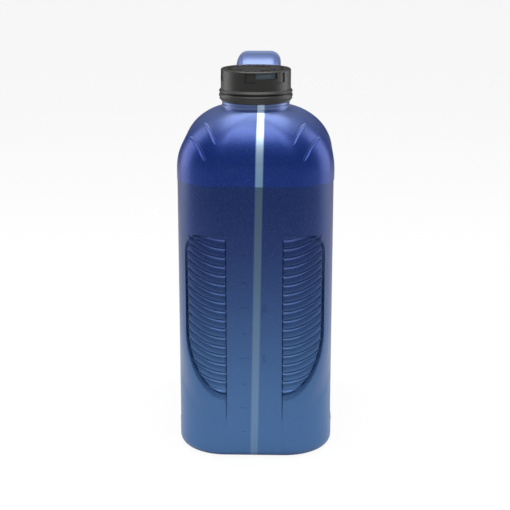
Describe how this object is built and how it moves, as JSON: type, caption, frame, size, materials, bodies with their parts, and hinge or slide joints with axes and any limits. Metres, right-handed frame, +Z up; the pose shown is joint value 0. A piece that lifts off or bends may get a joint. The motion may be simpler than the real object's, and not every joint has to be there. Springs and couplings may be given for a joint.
{
  "type": "motor oil bottle",
  "caption": "Blow-moulded jug for motor oil with a built-in carrying handle, ribbed finger grips, a see-through level stripe and a two-shell screw cap.",
  "frame": {"origin": "middle of the base, on the plane the bottle stands on", "axes": "+Z up, the spout end faces -Y, the handle is towards +Y, the broad label faces look along +X and -X"},
  "size_m": [0.129, 0.1951, 0.323],
  "materials": {
    "blue_plastic": "satin pearl",
    "oil": "clear liquid",
    "black_plastic": "satin",
    "grey_plastic": "matte",
    "liner": "soft foam",
    "label": "printed film"
  },
  "bodies": {
    "bottle": {"bottle": "blue_plastic", "oil": "oil", "tamper_band": "black_plastic", "label_right": "label", "label_left": "label"},
    "liner": {"cap_liner": "liner"},
    "cap": {"inner_cap": "grey_plastic", "outer_cap": "black_plastic"}
  },
  "joints": [
    {"name": "cap_lift", "type": "slide", "parent": "bottle", "child": "liner", "axis": [0, 0, 1], "range_m": [0, 0.0201]},
    {"name": "cap_turn", "type": "hinge", "parent": "liner", "child": "cap", "pos_m": [0, -0.0535, 0.308], "axis": [0, 0, 1], "range_deg": [0, 1440]}
  ],
  "couplings": [
    {"joint": "cap_lift", "follows": "cap_turn", "m_per_rad": 0.00079577}
  ]
}
